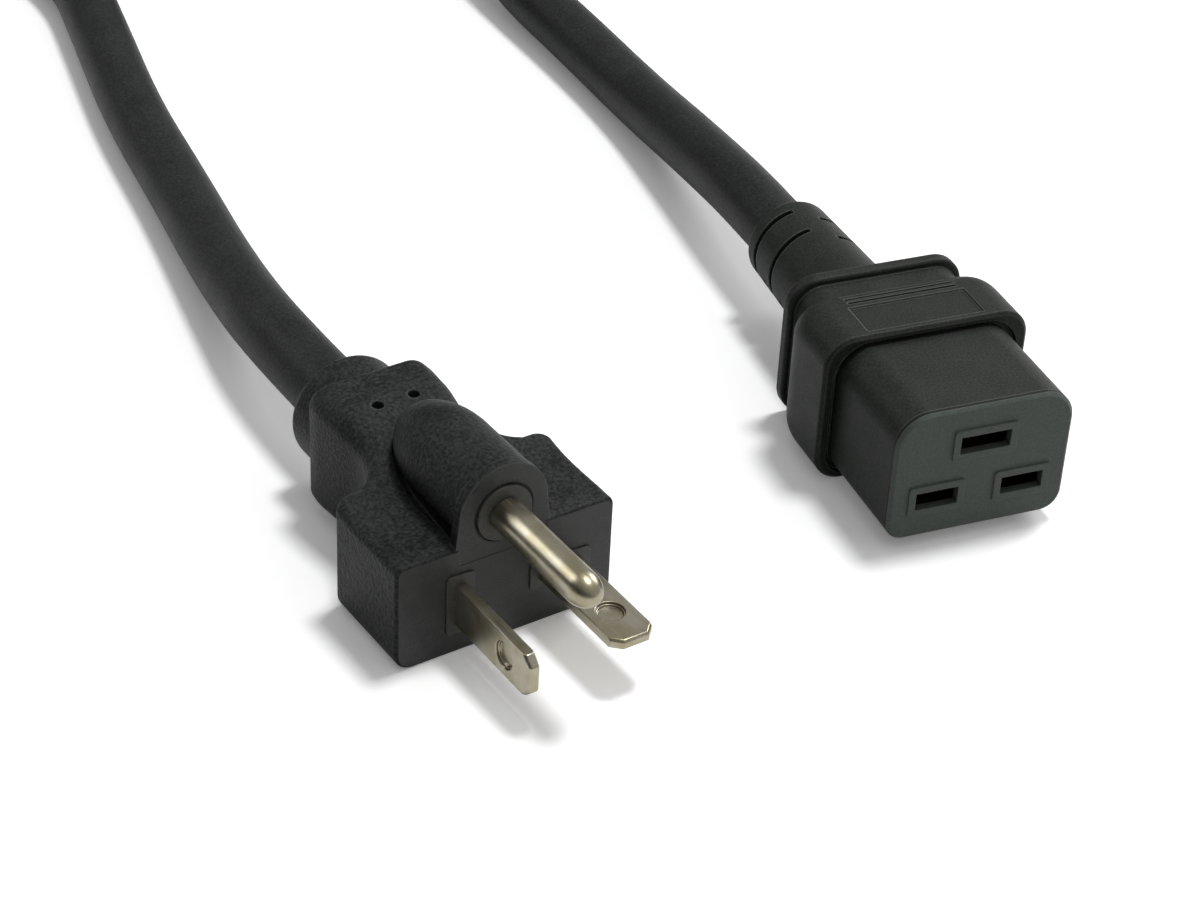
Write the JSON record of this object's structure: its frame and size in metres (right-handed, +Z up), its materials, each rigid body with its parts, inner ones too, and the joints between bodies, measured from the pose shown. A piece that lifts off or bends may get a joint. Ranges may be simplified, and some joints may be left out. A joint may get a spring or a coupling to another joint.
{
  "type": "power cord",
  "caption": "Heavy-duty power cord: moulded plug with one upright blade, one flat blade and a round ground pin, leading to a female connector with rectangular slots.",
  "frame": {"origin": "on the flat underside of the plug, straight below the ground pin's axis, in the plane of the pin face", "axes": "-Y out of the plug along its pins, +X to the right when facing the pins, +Z up from the surface the cord lies on"},
  "size_m": [0.1655, 0.3505, 0.0268],
  "materials": {
    "moulding": "satin black moulded jacket compound with a fine grain",
    "bridge": "matt",
    "pin_metal": "nickel plated, lightly brushed",
    "jacket": "smooth satin",
    "tie": "woven strap",
    "connector_moulding": "satin charcoal with a fine grain",
    "connector_bridge": "matt",
    "contact_brass": "bright",
    "copper": "bare stranded copper",
    "insulation_green": "smooth",
    "insulation_black": "smooth",
    "insulation_white": "smooth"
  },
  "bodies": {
    "root": {"plug_body": "moulding", "plug_bridge": "bridge", "ground_pin": "pin_metal", "blade_vertical": "pin_metal", "blade_horizontal": "pin_metal", "cord_plug_run": "jacket", "cord_coil": "jacket", "cord_connector_run": "jacket", "coil_tie": "tie", "connector_body": "connector_moulding", "connector_insert": "connector_bridge", "plug_lead_ground": "insulation_green", "plug_core_ground": "copper", "contact_ground": "contact_brass", "connector_lead_ground": "insulation_green", "connector_core_ground": "copper", "plug_lead_line_1": "insulation_black", "plug_core_line_1": "copper", "contact_line_1": "contact_brass", "connector_lead_line_1": "insulation_black", "connector_core_line_1": "copper", "plug_lead_line_2": "insulation_white", "plug_core_line_2": "copper", "contact_line_2": "contact_brass", "connector_lead_line_2": "insulation_white", "connector_core_line_2": "copper"}
  },
  "joints": []
}
